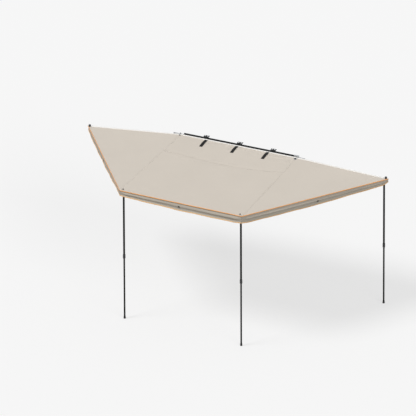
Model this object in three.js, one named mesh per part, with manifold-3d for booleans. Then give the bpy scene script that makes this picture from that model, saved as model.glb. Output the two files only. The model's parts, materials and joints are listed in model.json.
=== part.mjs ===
// Vehicle side awning, open, in millimetres. +X runs to the rear of the vehicle, +Y towards it, +Z up.
// The origin lies on the back of the middle rack bracket, where the base bears on the roof rack.
import * as THREE from 'three';
import { mergeVertices } from 'three/addons/utils/BufferGeometryUtils.js';
import Module from 'manifold-3d';

const wasm = await Module();
wasm.setup();

// Shared clearances and facet counts
const seat = 0.3;                       // gap left between pieces that touch
const overrun = 1;                      // how far a cut runs past the face it opens
const roundSides = 16;
const smallSides = 8;
const boltSides = 6;
const cornerSteps = 2;

// Base, brackets and the levels of the arms
const groundDrop = 2258;                // origin down to the ground
const railLength = 2290;
const railTop = 38;
const railBottom = -22;
const railWall = 3;
const railDepth = 29.7;
const railRound = 2.5;
const bracketWall = 4;
const bracketWidth = 90;
const bracketDrop = 30;
const bracketShelf = 46;
const bracketRise = 36;                 // shelf above the top of the rail
const bracketPitch = 590;
const bracketBolts = 42;                // spacing of the two shelf bolts
const boltRadius = 5;
const boltHead = 8;
const boltHeadShare = 1.7;              // head radius to shank radius
const boltShank = 22;
const boltPlate = { width: 18, length: 40, thick: 4 };
const trackDepth = 11;
const trackHeight = 7;
const trackGroove = 2.6;
const trackSetback = 120;               // end of the rail in to the end of the track
const upstandRise = 27;
const upstandWall = 2;

// Hinge line and slots that the folded arms lie in
const pinOut = 25;                      // end of the rail out to each knuckle pin
const slotPitch = 48;
const innerSlot = -56;
const upperLevel = 4;
const levelStep = 76;
const pinSpan = railLength / 2 + pinOut;
const outerSlot = innerSlot - 2 * slotPitch;
const lowerLevel = upperLevel - levelStep;

// Canvas outline
const clothEdge = -36;                  // y of the edge held in the track
const clothRise = 42;                   // z of that edge
const kinkSpan = railLength / 2 - trackSetback;
const armReach = 2198;                  // middle of the two chains' slots out to the arms' tips, along Y
const frontReach = armReach - 2 * slotPitch;
const rearReach = armReach + 2 * slotPitch;
const armLean = 125;                    // how far the tip stands inboard of its pin
const tipInset = 40;                    // tip to canvas corner, along X
const tipSetback = 28;                  // tip to canvas corner, along Y
const endReach = 1608;                  // kink out to each end corner
const endInset = 34;                    // end corner in to the tip of its arm
const frontCorner = { y: -103, z: -107 };
const frontMidRise = 85;
const rearMidRise = 121;
const rearCorner = { y: -67, z: 9 };
const clothThick = 1.4;
const clothSag = 14;
const seamGap = 0.3;
const eyeRadius = 8;
const crease = { reach: 500, depth: 5, width: 60 };
const valance = { drop: 126, wave: 7, pitch: 440, corner: 12 };
const frontHang = { drop: 88, taper: 500 };
const frontMidHang = { drop: 88, taper: 1100 };
const rearMidHang = { drop: 122, taper: 170 };
const rearHang = { drop: 82, taper: 1300 };
const strap = { width: 50, length: 280, thick: 2.2, lift: 9, clear: 0.9, pitch: 543, shift: -20, skew: 36 };

// Arms
const armWide = 30;
const armTall = 34;
const armWall = 2.2;
const armRound = 4;
const armStart = 40;                    // pin to the open end of the tube
const clothClear = 5;                   // top of the arm's tip to the canvas corner
const spigotLength = 45;
const barrelRadius = 17;
const heelNeck = 24;
const earThick = 6;
const endBarrelRadius = 14.5;
const endNeck = 20;
const pinRadius = 6;
const pinHead = { radius: 9.5, height: 4 };
const postRadius = 4.5;
const hookKnob = { radius: 9, height: 24, clear: 5 };
const endKnob = { radius: 21, height: 36, clear: 4 };
const knobShares = [[0, 0], [0.6, 0], [1, 0.3], [1, 0.7], [0.6, 1], [0, 1]];
const capThick = 12;
const plugLength = 26;

// Knuckles
const knuckleWall = 4;
const knuckleGap = 0.5;
const knuckleRadius = 18;
const knuckleSpigot = 60;
const earInset = 2;                      // ears of a fork inside the round of its barrel
const knuckleWeb = 12;
const webClear = 8;                     // from the ears' round end to the web behind it
const saddleBoss = { radius: 13, height: 14, bolt: 8 };
const hood = { reach: 54, rise: 12, height: 22, round: 5, eye: 8, eyeDepth: 12 };

// Legs
const legInset = 31;                    // tip of the arm back to the leg
const hingeDrop = 46;                   // arm axis down to the leg's hinge
const cheek = { thick: 3, half: 12 };
const hingeRadius = 4;
const tongueRadius = 13.5;
const legOuterRadius = 16;
const legOuterBore = 14;
const legOuterTop = 24;
const legOuterLength = 1130;
const legOverlap = 120;
const legInnerBore = 12;
const headPlug = 40;
const headShoulder = 4;
const collar = { radius: 20, flute: 1.2, flutes: 10, up: 42, down: 24, gap: 0.7 };
const fluteSteps = 4;                   // facets of one flute
const foot = { radius: 19, waist: 16.5, height: 42, floor: 8 };

// Materials
const metal = (color, roughness) => new THREE.MeshStandardMaterial({ color, roughness, metalness: 0.85 });
const plain = (color, roughness) => new THREE.MeshStandardMaterial({ color, roughness, metalness: 0 });
const railBlack = metal(0x2b2c2e, 0.45);
const armSilver = metal(0xa9abad, 0.35);
const legBlack = metal(0x1d1e20, 0.42);
const steel = metal(0xb9bbbd, 0.3);
const castBlack = plain(0x202122, 0.55);
const knuckleGrey = metal(0x9a9c9e, 0.4);
const rubber = plain(0x141414, 0.85);
const canvasTan = plain(0xcdc6bb, 0.9);
const valanceTan = plain(0xaaa59b, 0.9);
const webbing = plain(0x17181a, 0.8);

const part = new THREE.Group();

// A closed mesh becomes a solid once its corners are shared
function toSolid(geometry, matrix = new THREE.Matrix4()) {
  const bare = geometry.clone().applyMatrix4(matrix);
  bare.deleteAttribute('normal');
  bare.deleteAttribute('uv');
  const merged = mergeVertices(bare);
  const mesh = new wasm.Mesh({
    numProp: 3,
    vertProperties: new Float32Array(merged.attributes.position.array),
    triVerts: new Uint32Array(merged.index.array),
  });
  return new wasm.Manifold(mesh);
}

function toGeometry(solid) {
  const mesh = solid.getMesh();
  const geometry = new THREE.BufferGeometry();
  geometry.setAttribute('position', new THREE.BufferAttribute(mesh.vertProperties, 3));
  geometry.setIndex(new THREE.BufferAttribute(mesh.triVerts, 1));
  geometry.computeVertexNormals();
  return geometry;
}

function add(name, shape, material, group = part) {
  const geometry = shape.isBufferGeometry ? shape : toGeometry(shape);
  const mesh = new THREE.Mesh(geometry, material);
  mesh.name = name;
  group.add(mesh);
  return mesh;
}

const at = (x, y, z) => new THREE.Matrix4().makeTranslation(x, y, z);
const turned = (axis, angle) => new THREE.Matrix4().makeRotationAxis(axis, angle);
const X = new THREE.Vector3(1, 0, 0);
const Y = new THREE.Vector3(0, 1, 0);
const Z = new THREE.Vector3(0, 0, 1);

// A box from its lowest corner to its highest
function block(low, high) {
  const size = high.map((value, i) => value - low[i]);
  const middle = high.map((value, i) => (value + low[i]) / 2);
  return toSolid(new THREE.BoxGeometry(...size), at(...middle));
}

// An upright cylinder between two heights
function post(radius, low, high, x = 0, y = 0, sides = roundSides) {
  const shape = new THREE.CylinderGeometry(radius, radius, high - low, sides);
  return toSolid(shape, at(x, y, (low + high) / 2).multiply(turned(X, Math.PI / 2)));
}

// A profile of radius and height, turned about the upright axis
function revolve(outline, sides, place) {
  const points = outline.map(([r, z]) => new THREE.Vector2(r, z));
  return toSolid(new THREE.LatheGeometry(points, sides), place.clone().multiply(turned(X, Math.PI / 2)));
}

// A cylinder along Y
function cross(radius, half, z, sides = roundSides) {
  return toSolid(new THREE.CylinderGeometry(radius, radius, 2 * half, sides), at(0, 0, z));
}

function roundedOutline(path, wide, tall, radius) {
  const w = wide / 2;
  const h = tall / 2;
  const corners = [[w - radius, h - radius, 0], [radius - w, h - radius, 1],
    [radius - w, radius - h, 2], [w - radius, radius - h, 3]];
  for (const [cx, cy, quarter] of corners) {
    for (let i = 0; i <= cornerSteps; i += 1) {
      const angle = (quarter + i / cornerSteps) * Math.PI / 2;
      const px = cx + radius * Math.cos(angle);
      const py = cy + radius * Math.sin(angle);
      if (path.curves.length === 0 && quarter === 0 && i === 0) path.moveTo(px, py);
      else path.lineTo(px, py);
    }
  }
  path.closePath();
  return path;
}

// Turns an outline drawn in X and Y so that it stands in Y and Z and runs along X
const alongX = new THREE.Matrix4().makeBasis(Y, Z, X);

function bar(wide, tall, radius, start, end) {
  const shape = roundedOutline(new THREE.Shape(), wide, tall, radius);
  const geometry = new THREE.ExtrudeGeometry(shape, { depth: end - start, bevelEnabled: false });
  return toSolid(geometry, at(start, 0, 0).multiply(alongX));
}

// A flat plate with round ends between two points
function link(from, to, radius, low, high) {
  const along = Math.atan2(to[1] - from[1], to[0] - from[0]);
  const shape = new THREE.Shape();
  shape.absarc(from[0], from[1], radius, along + Math.PI / 2, along + 3 * Math.PI / 2, false);
  shape.absarc(to[0], to[1], radius, along - Math.PI / 2, along + Math.PI / 2, false);
  const settings = { depth: high - low, bevelEnabled: false, curveSegments: smallSides };
  return toSolid(new THREE.ExtrudeGeometry(shape, settings), at(0, 0, low));
}

// A thin closed sheet over a grid of points, with its thickness straight down or along a given way
function sheet(rows, columns, point, thickness) {
  const positions = [];
  const index = [];
  for (const side of [0, 1]) {
    for (let i = 0; i <= rows; i += 1) {
      for (let j = 0; j <= columns; j += 1) {
        const p = point(i / rows, j / columns);
        positions.push(p.x - side * thickness.x, p.y - side * thickness.y, p.z - side * thickness.z);
      }
    }
  }
  const count = (rows + 1) * (columns + 1);
  const id = (side, i, j) => side * count + i * (columns + 1) + j;
  const quad = (a, b, c, d) => index.push(a, b, c, a, c, d);
  for (let i = 0; i < rows; i += 1) {
    for (let j = 0; j < columns; j += 1) {
      quad(id(0, i, j), id(0, i + 1, j), id(0, i + 1, j + 1), id(0, i, j + 1));
      quad(id(1, i, j), id(1, i, j + 1), id(1, i + 1, j + 1), id(1, i + 1, j));
    }
  }
  for (let i = 0; i < rows; i += 1) {
    quad(id(0, i, 0), id(1, i, 0), id(1, i + 1, 0), id(0, i + 1, 0));
    quad(id(0, i, columns), id(0, i + 1, columns), id(1, i + 1, columns), id(1, i, columns));
  }
  for (let j = 0; j < columns; j += 1) {
    quad(id(0, 0, j), id(0, 0, j + 1), id(1, 0, j + 1), id(1, 0, j));
    quad(id(0, rows, j), id(1, rows, j), id(1, rows, j + 1), id(0, rows, j + 1));
  }
  const geometry = new THREE.BufferGeometry();
  geometry.setAttribute('position', new THREE.Float32BufferAttribute(positions, 3));
  geometry.setIndex(index);
  return geometry;
}

// Base rail, a hollow bar open at both ends, and the track that holds the edge of the canvas
const railFront = -seat - bracketWall - railDepth;
const railBack = -seat - bracketWall;
const railTall = railTop - railBottom;
const railMiddle = at(0, (railFront + railBack) / 2, (railTop + railBottom) / 2);
const trackTop = railTop + seat + trackHeight;
const trackFront = clothEdge + seat;

function addRail() {
  const half = railLength / 2;
  const end = half + overrun;
  const shell = bar(railDepth, railTall, railRound, -half, half);
  const bore = bar(railDepth - 2 * railWall, railTall - 2 * railWall, railRound, -end, end);
  add('base_rail', shell.subtract(bore).transform(railMiddle.elements), railBlack);

  const open = kinkSpan + overrun;
  const grooveY = trackFront + trackGroove + overrun;
  const groove = toSolid(new THREE.CylinderGeometry(trackGroove, trackGroove, 2 * open, smallSides),
    at(0, grooveY, clothRise - clothThick / 2).multiply(turned(Z, Math.PI / 2)));
  const mouth = block([-open, trackFront - overrun, clothRise - clothThick], [open, grooveY, clothRise]);
  const track = block([-kinkSpan, trackFront, railTop + seat], [kinkSpan, trackFront + trackDepth, trackTop]);
  add('canvas_track', track.subtract(groove).subtract(mouth), railBlack);
}

// Upstand: a smaller hollow bar on the rail behind the track, which keeps the canvas off the rack
function addUpstand() {
  const front = trackFront + trackDepth + seat;
  const deep = railBack - front;
  const half = kinkSpan - hood.reach - seat;
  const end = half + overrun;
  const place = at(0, (front + railBack) / 2, railTop + seat + upstandRise / 2);
  const shell = bar(deep, upstandRise, railRound, -half, half);
  const bore = bar(deep - 2 * upstandWall, upstandRise - 2 * upstandWall, railRound - upstandWall, -end, end);
  add('base_upstand', shell.subtract(bore).transform(place.elements), railBlack);
}

// Angle brackets: one side lies on the rack, the shelf above it takes two bolts
function addBracket(name, x) {
  const half = bracketWidth / 2;
  const shelf = railTop + bracketRise;
  let angle = block([x - half, -bracketWall, -bracketDrop], [x + half, 0, shelf])
    .add(block([x - half, -bracketWall, shelf - bracketWall], [x + half, bracketShelf, shelf]));
  const middle = bracketShelf / 2;
  for (const [i, side] of [-1, 1].entries()) {
    const bx = x + side * bracketBolts / 2;
    const hole = post(boltRadius + seat, shelf - bracketWall - overrun, shelf + overrun, bx, middle);
    angle = angle.subtract(hole);
    const under = shelf + seat;
    const crown = under + boltPlate.thick;
    const plate = block([bx - boltPlate.width / 2, middle - boltPlate.length / 2, under],
      [bx + boltPlate.width / 2, middle + boltPlate.length / 2, crown]);
    const head = post(boltRadius * boltHeadShare, under, crown + boltHead, bx, middle, boltSides);
    const shank = post(boltRadius, under - boltShank, crown, bx, middle, smallSides);
    add(`${name}_bolt_${i + 1}`, plate.add(head).add(shank), steel);
  }
  add(name, angle, railBlack);
}

// Knuckle: a spigot in the rail's end, a flange, and two ears that carry the pin
function addKnuckle(name, side, slot, level) {
  const inner = railLength / 2 + seat;
  const outer = inner + knuckleWeb;
  const half = armTall / 2 + knuckleGap;
  const top = Math.max(level + half + knuckleWall, railTop - 2 * knuckleRadius);
  const bottom = Math.min(level - half - knuckleWall, railBottom);
  const span = (a, b) => [Math.min(side * a, side * b), Math.max(side * a, side * b)];
  const [fx0, fx1] = span(inner, outer);
  let body = block([fx0, railFront, bottom], [fx1, railBack, Math.min(top, railTop - bracketWall)]);
  const [sx0, sx1] = span(inner - knuckleSpigot, outer);
  const inset = railWall + seat;
  const spigot = bar(railDepth - 2 * inset, railTall - 2 * inset, railRound, sx0, sx1);
  body = body.add(spigot.transform(railMiddle.elements));
  const root = [side * (inner + knuckleRadius), railFront + knuckleWeb];
  for (const z of [level + half, level - half - knuckleWall]) {
    body = body.add(link(root, [side * pinSpan, slot], knuckleRadius, z, z + knuckleWall));
  }
  const webEnd = slot + knuckleRadius + webClear;
  if (webEnd < railFront) {
    const [wx0, wx1] = span(outer, outer + knuckleWall);
    const webHalf = half + knuckleWall / 2;
    body = body.add(block([wx0, webEnd, level - webHalf], [wx1, railBack - knuckleWall, level + webHalf]));
  }
  body = body.add(saddle(side, outer));
  if (side > 0) body = body.add(saddleHood());
  body = body.subtract(post(pinRadius + seat, bottom - overrun, railTop + overrun, side * pinSpan, slot));
  add(name, body, knuckleGrey);
  addPin(`${name}_pin`, [side * pinSpan, slot, level], half + knuckleWall, part);
}

// The knuckle's saddle lies along the rail's top and ends in a boss that clamps the canvas at the kink
function saddle(side, outer) {
  const floor = railTop + seat;
  const near = kinkSpan + seat;
  const rail = railLength / 2 + seat;
  const front = railFront + railWall;
  const back = railBack - railWall;
  const top = floor + knuckleWall;
  const plate = block([Math.min(side * near, side * outer), front, floor],
    [Math.max(side * near, side * outer), back, top]);
  const drop = block([Math.min(side * rail, side * outer), front, railTop - 2 * knuckleWall],
    [Math.max(side * rail, side * outer), back, top]);
  const x = side * (near + saddleBoss.radius);
  const middle = (railFront + railBack) / 2;
  const crown = floor + saddleBoss.height;
  const clamp = post(saddleBoss.radius, floor, crown, x, middle);
  const bolt = post(saddleBoss.bolt, crown - boltHead, crown + boltHead, x, middle, boltSides);
  return plate.add(drop).add(clamp).add(bolt);
}

// A hood on the rear saddle covers the canvas at the kink, with an eye sunk in its outer face
function saddleHood() {
  const z = railTop + seat + hood.rise + hood.height / 2;
  const start = kinkSpan - hood.reach;
  const end = kinkSpan + 2 * saddleBoss.radius;
  const place = at(0, (railFront + railBack) / 2, z);
  const shell = bar(railDepth, hood.height, hood.round, start, end).transform(place.elements);
  const eye = cross(hood.eye, hood.eyeDepth, 0);
  return shell.subtract(eye.transform(at((start + end) / 2, railFront, z).elements));
}

// A riveted pin: shaft, head above and closing head below
function addPin(name, place, half, group) {
  const shaft = post(pinRadius, -half - seat - pinHead.height / 2, half + seat + pinHead.height / 2);
  const head = post(pinHead.radius, half + seat, half + seat + pinHead.height);
  const close = post(pinHead.radius, -half - seat - pinHead.height, -half - seat);
  const mesh = add(name, shaft.add(head).add(close), steel, group);
  mesh.position.set(...place);
}

// Where each arm starts, where it points and how far it goes
function arm(pin, tip, cornerZ) {
  const turn = Math.atan2(tip.y - pin.y, tip.x - pin.x);
  const run = Math.hypot(tip.y - pin.y, tip.x - pin.x);
  const climb = cornerZ - clothClear - armTall / 2 - pin.z;
  return { pin, tip, turn, run, rise: Math.atan2(climb, run), length: Math.hypot(run, climb) };
}

// The point a set distance inside a corner, halfway between the two edges that leave it
function insetPoint(corner, first, second) {
  const a = first.clone().sub(corner).setZ(0).normalize();
  const b = second.clone().sub(corner).setZ(0).normalize();
  const way = a.add(b).normalize();
  return corner.clone().addScaledVector(way, endInset);
}

const kinkFront = new THREE.Vector3(-kinkSpan, clothEdge, clothRise);
const kinkRear = new THREE.Vector3(kinkSpan, clothEdge, clothRise);
const pinFront = new THREE.Vector3(-pinSpan, outerSlot, lowerLevel);
const pinRear = new THREE.Vector3(pinSpan, innerSlot, upperLevel);
const tipFrontMid = new THREE.Vector3(armLean - pinSpan, outerSlot - frontReach, 0);
const tipRearMid = new THREE.Vector3(pinSpan - armLean, innerSlot - rearReach, 0);
const cornerFrontMid = new THREE.Vector3(tipFrontMid.x - tipInset, tipFrontMid.y - tipSetback, frontMidRise);
const cornerRearMid = new THREE.Vector3(tipRearMid.x + tipInset, tipRearMid.y - tipSetback, rearMidRise);
const cornerFront = new THREE.Vector3(-kinkSpan - endReach, frontCorner.y, frontCorner.z);
const cornerRear = new THREE.Vector3(kinkSpan + endReach, rearCorner.y, rearCorner.z);
const pinFrontEnd = pinFront.clone().add(new THREE.Vector3(-slotPitch, 0, 0));
const pinRearEnd = pinRear.clone().add(new THREE.Vector3(slotPitch, 0, 0));
const tipFront = insetPoint(cornerFront, kinkFront, cornerFrontMid);
const tipRear = insetPoint(cornerRear, kinkRear, cornerRearMid);

const frontMid = arm(pinFront, tipFrontMid, frontMidRise);
const rearMid = arm(pinRear, tipRearMid, rearMidRise);
const frontEnd = arm(pinFrontEnd, tipFront, frontCorner.z);
const rearEnd = arm(pinRearEnd, tipRear, rearCorner.z);

function levelGroup(place, turn) {
  const group = new THREE.Group();
  group.position.copy(place);
  group.rotation.z = turn;
  part.add(group);
  return group;
}

// Moulded heel: barrel, neck and a spigot that slopes with the arm
function heelSolid(barrel, half, neckWide, neckTall, spec) {
  const tilt = turned(Y, -spec.rise);
  const neck = bar(neckWide, neckTall, armRound, 0, armStart).transform(tilt.elements);
  const inside = armWall + seat;
  const wide = armWide - 2 * inside;
  const tall = armTall - 2 * inside;
  const spigot = bar(wide, tall, armRound - armWall, armStart - armRound, armStart + spigotLength);
  return post(barrel, -half, half).add(neck).add(spigot.transform(tilt.elements));
}

function addArm(name, spec, ends) {
  const level = levelGroup(spec.pin, spec.turn);
  const slope = new THREE.Group();
  slope.rotation.y = -spec.rise;
  level.add(slope);

  // Heel at the knuckle, which for a middle arm also carries the fork of the end arm
  const half = armTall / 2;
  const forkHalf = half - earThick - seat;
  let heel;
  if (ends.fork) {
    heel = heelSolid(barrelRadius, half, heelNeck, armTall - 2 * armRound, spec);
    const local = ends.fork.clone().sub(spec.pin).applyAxisAngle(Z, -spec.turn);
    const eye = [local.x, local.y];
    heel = heel.add(link([0, 0], eye, barrelRadius - earInset, half - earThick, half));
    heel = heel.add(link([0, 0], eye, barrelRadius - earInset, -half, earThick - half));
    heel = heel.subtract(post(pinRadius + seat, -half - overrun, half + overrun, ...eye));
    addPin(`${name}_fork_pin`, [...eye, 0], half, level);
  } else {
    heel = heelSolid(endBarrelRadius, forkHalf, endNeck, 2 * forkHalf - armRound, spec);
  }
  heel = heel.subtract(post(pinRadius + seat, -half - overrun, half + overrun));
  add(`${name}_heel`, heel, castBlack, level);

  // Extruded tube with rounded corners, open at both ends
  const end = spec.length - capThick / 2;
  const innerWide = armWide - 2 * armWall;
  const innerTall = armTall - 2 * armWall;
  const tube = bar(armWide, armTall, armRound, armStart, end);
  const bore = bar(innerWide, innerTall, armRound - armWall, armStart - overrun, end + overrun);
  add(`${name}_tube`, tube.subtract(bore), armSilver, slope);

  // End cap with a plug, and the post and knob that hold the corner of the canvas
  const top = half + clothClear + ends.knob.clear;
  const plugEnd = end + capThick / 2;
  const cap = bar(armWide, armTall, armRound, end + seat, end + seat + capThick)
    .add(bar(innerWide - 2 * seat, innerTall - 2 * seat, armRound - armWall, end - plugLength, plugEnd));
  const stem = post(postRadius, 0, top + ends.knob.height / 2, spec.length, 0, smallSides);
  const outline = knobShares.map(([r, z]) => [r * ends.knob.radius, z * ends.knob.height]);
  const head = revolve(outline, smallSides, at(spec.length, 0, top));
  add(`${name}_cap`, cap.add(stem).add(head), castBlack, slope);

  if (ends.leg) addLeg(ends.leg, spec, slope);
}

// Telescopic leg, hung from a fork under the arm so that it folds up along it
function addLeg(name, spec, slope) {
  const along = spec.length - legInset;
  const under = -armTall / 2 - seat;
  const wide = armWide / 2;
  const plate = under - cheek.thick;
  const hinge = at(along, 0, -hingeDrop);
  let fork = block([along - 2 * cheek.half, -wide, plate], [along + 2 * cheek.half, wide, under])
    .add(block([along - cheek.half, -wide, -hingeDrop], [along + cheek.half, wide, under]))
    .add(cross(cheek.half, wide, 0).transform(hinge.elements));
  const slotHalf = wide - cheek.thick;
  fork = fork.subtract(block([along - 2 * cheek.half, -slotHalf, -hingeDrop - 2 * cheek.half],
    [along + 2 * cheek.half, slotHalf, plate]));
  fork = fork.subtract(cross(hingeRadius + seat, wide + overrun, 0).transform(hinge.elements));
  add(`${name}_fork`, fork, castBlack, slope);
  const pin = cross(hingeRadius, wide + overrun, 0, smallSides);
  add(`${name}_pin`, pin, steel, slope).position.set(along, 0, -hingeDrop);

  const s = Math.sin(spec.rise);
  const c = Math.cos(spec.rise);
  const place = new THREE.Vector3(along * c + hingeDrop * s, 0, along * s - hingeDrop * c)
    .applyAxisAngle(Z, spec.turn).add(spec.pin);
  const leg = levelGroup(place, spec.turn);
  const ground = -groundDrop - place.z;

  // Head: a tongue between the cheeks, a shoulder on the tube's end and a plug in it
  const tongue = slotHalf - seat;
  const head = cross(tongueRadius, tongue, 0)
    .add(block([-cheek.half + cheek.thick, -tongue, -legOuterTop], [cheek.half - cheek.thick, tongue, 0]))
    .add(post(legOuterRadius, seat - legOuterTop, headShoulder - legOuterTop))
    .add(post(legOuterBore - seat, -legOuterTop - headPlug, -legOuterTop + seat))
    .subtract(cross(hingeRadius + seat, wide, 0));
  add(`${name}_head`, head, castBlack, leg);

  const low = -legOuterTop - legOuterLength;
  const outer = post(legOuterRadius, low, -legOuterTop)
    .subtract(post(legOuterBore, low - overrun, overrun - legOuterTop));
  add(`${name}_outer_tube`, outer, legBlack, leg);

  const floor = ground + foot.floor;
  const innerRadius = legOuterBore - seat;
  const inner = post(innerRadius, floor + seat, low + legOverlap)
    .subtract(post(legInnerBore, floor + seat - overrun, low + legOverlap + overrun));
  add(`${name}_inner_tube`, inner, legBlack, leg);

  // Twist lock: a fluted grip over the joint of the two tubes
  const grip = new THREE.Shape();
  const steps = collar.flutes * fluteSteps;
  for (let i = 0; i < steps; i += 1) {
    const angle = i / steps * 2 * Math.PI;
    const r = collar.radius + collar.flute * Math.cos(collar.flutes * angle);
    if (i === 0) grip.moveTo(r * Math.cos(angle), r * Math.sin(angle));
    else grip.lineTo(r * Math.cos(angle), r * Math.sin(angle));
  }
  const tall = { depth: collar.up + collar.down, bevelEnabled: false };
  const lock = toSolid(new THREE.ExtrudeGeometry(grip, tall), at(0, 0, low - collar.down))
    .subtract(post(legOuterRadius + collar.gap, low - seat, low + collar.up + overrun))
    .subtract(post(innerRadius + collar.gap, low - collar.down - overrun, low));
  add(`${name}_collar`, lock, castBlack, leg);

  // Rubber foot: a cup round the end of the inner tube
  const { radius, waist, height } = foot;
  const cup = innerRadius + seat;
  const outline = [[0, 0], [waist, 0], [radius, foot.floor / 2], [radius, 2 * foot.floor],
    [waist, height / 2], [waist, height], [cup, height], [cup, foot.floor], [0, foot.floor]];
  add(`${name}_foot`, revolve(outline, roundSides, at(0, 0, ground)), rubber, leg);
}

// Shared cloth shapes: how far a panel sinks between its edges, one at the middle of a triangle
const bubble = (a, b, c) => (3 * a) * (3 * b) * (3 * c);
const down = new THREE.Vector3(0, 0, clothThick);
const sagSteps = { rows: 26, columns: 14 };
const endSteps = { rows: 14, columns: 12 };
const valanceSteps = { rows: 36, columns: 2 };
const strapSteps = 14;
const apexShare = 0.012;                // the tip of an end panel is cut off at the kink

function middlePoint(u, v) {
  const start = kinkFront.clone().lerp(kinkRear, v);
  const end = cornerFrontMid.clone().lerp(cornerRearMid, v);
  const p = start.lerp(end, u);
  const away = (clothEdge - p.y - crease.reach) / crease.width;
  const fold = Math.exp(-(away ** 2)) * crease.depth;
  p.z -= (clothSag * Math.sin(Math.PI * u) + fold) * Math.sin(Math.PI * v);
  return p;
}

function endPoint(apex, first, second) {
  return (u, v) => {
    const t = apexShare + u * (1 - apexShare);
    const p = apex.clone().lerp(first.clone().lerp(second, v), t);
    p.z -= clothSag * bubble(1 - t, t * (1 - v), t * v);
    return p;
  };
}

function addCanvas() {
  const low = frontCorner.z - 2 * clothRise;
  const high = rearMidRise + clothRise;
  const eye = (tip) => post(eyeRadius, low, high, tip.x, tip.y, smallSides);
  const panel = (steps, point, shift, eyes) => {
    const solid = toSolid(sheet(steps.rows, steps.columns, point, down), at(shift, 0, 0));
    return eyes.reduce((cloth, tip) => cloth.subtract(eye(tip)), solid);
  };
  const front = endPoint(kinkFront, cornerFront, cornerFrontMid);
  const rear = endPoint(kinkRear, cornerRearMid, cornerRear);
  add('canvas_middle', panel(sagSteps, middlePoint, 0, [tipFrontMid, tipRearMid]), canvasTan);
  add('canvas_front', panel(endSteps, front, -2 * seamGap, [tipFront]), canvasTan);
  add('canvas_rear', panel(endSteps, rear, 2 * seamGap, [tipRear]), canvasTan);
}

// Valance: a strip sewn along an outer edge, shallower towards its ends, with soft waves
function addValance(name, from, to, start, finish, shift) {
  const run = to.clone().sub(from);
  const length = run.length();
  const out = new THREE.Vector3(-run.y, run.x, 0).normalize();
  const waves = Math.round(length / valance.pitch) * 2 * Math.PI;
  const point = (u, v) => {
    const s = valance.corner + u * (length - 2 * valance.corner);
    const p = from.clone().addScaledVector(run, s / length);
    const first = (valance.drop - start.drop) * Math.max(0, 1 - s / start.taper);
    const last = (valance.drop - finish.drop) * Math.max(0, 1 - (length - s) / finish.taper);
    const drop = valance.drop - first - last;
    const wave = valance.wave * (1 - Math.cos(waves * u)) / 2;
    p.addScaledVector(out, 2 * seamGap + clothThick + wave * v);
    p.z -= drop * v;
    p.x += shift;
    return p;
  };
  const thick = out.clone().multiplyScalar(clothThick);
  add(name, toSolid(sheet(valanceSteps.rows, valanceSteps.columns, point, thick)), valanceTan);
}

// Webbing straps that lie on the canvas from the base and turn a little to the rear
function addStrap(name, step) {
  const start = trackFront + trackDepth / 2;
  const lift = trackTop - clothRise;
  const clothReach = clothEdge - (cornerFrontMid.y + cornerRearMid.y) / 2;
  const point = (u, v) => {
    const x = strap.shift + step * strap.pitch + strap.skew * u ** 2;
    const y = start - u * strap.length;
    const across = (v - 1 / 2) * strap.width;
    const reach = Math.max(0, (clothEdge - y) / clothReach);
    const cloth = middlePoint(reach, (x + kinkSpan) / (2 * kinkSpan)).z;
    const near = Math.exp(-((u * strap.length / (2 * strap.lift)) ** 2));
    return new THREE.Vector3(x + across, y, cloth + strap.clear + strap.thick + lift * near);
  };
  const thick = new THREE.Vector3(0, 0, strap.thick);
  add(name, toSolid(sheet(strapSteps, 2, point, thick)), webbing);
}

addRail();
addUpstand();
[-1, 0, 1].forEach((step) => {
  addBracket(`bracket_${['front', 'middle', 'rear'][step + 1]}`, step * bracketPitch);
});
addKnuckle('front_knuckle', -1, outerSlot, lowerLevel);
addKnuckle('rear_knuckle', 1, innerSlot, upperLevel);
addArm('front_arm', frontMid, { fork: pinFrontEnd, leg: 'front_leg', knob: hookKnob });
addArm('middle_arm', rearMid, { fork: pinRearEnd, leg: 'middle_leg', knob: hookKnob });
addArm('front_end_arm', frontEnd, { knob: endKnob });
addArm('rear_end_arm', rearEnd, { leg: 'rear_leg', knob: endKnob });
addCanvas();
addValance('valance_front', cornerFrontMid, cornerFront, frontMidHang, frontHang, -2 * seamGap);
addValance('valance_side', cornerRearMid, cornerFrontMid, rearMidHang, frontMidHang, 0);
addValance('valance_rear', cornerRear, cornerRearMid, rearHang, rearMidHang, 2 * seamGap);
[-1, 0, 1].forEach((step) => addStrap(`strap_${step + 2}`, step));

export default part;
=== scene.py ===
import json
import math
import bpy
from mathutils import Matrix, Vector


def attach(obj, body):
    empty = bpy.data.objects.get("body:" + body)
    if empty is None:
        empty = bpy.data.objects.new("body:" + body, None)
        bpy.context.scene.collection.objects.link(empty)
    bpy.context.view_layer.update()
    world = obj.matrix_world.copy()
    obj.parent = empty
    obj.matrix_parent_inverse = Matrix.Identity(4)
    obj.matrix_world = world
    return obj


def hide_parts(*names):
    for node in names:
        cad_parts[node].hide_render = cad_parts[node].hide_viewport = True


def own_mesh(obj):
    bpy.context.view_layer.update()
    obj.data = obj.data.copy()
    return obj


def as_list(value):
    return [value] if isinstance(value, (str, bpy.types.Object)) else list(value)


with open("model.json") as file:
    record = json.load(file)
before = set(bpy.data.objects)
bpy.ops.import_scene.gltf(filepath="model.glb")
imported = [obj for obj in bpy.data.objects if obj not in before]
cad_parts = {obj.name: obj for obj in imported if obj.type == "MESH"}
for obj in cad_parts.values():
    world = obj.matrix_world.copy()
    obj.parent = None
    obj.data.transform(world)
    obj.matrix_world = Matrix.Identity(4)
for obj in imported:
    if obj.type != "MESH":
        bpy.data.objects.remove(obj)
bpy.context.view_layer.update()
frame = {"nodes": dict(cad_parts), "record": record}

# Camera, fitted to the corners and feet of the awning: degrees, millimetres of lens, and metres from the
# middle rack bracket
CAMERA_PLACE = Vector((65.560, -148.022, 84.182))
CAMERA_YAW = -24.071
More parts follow.
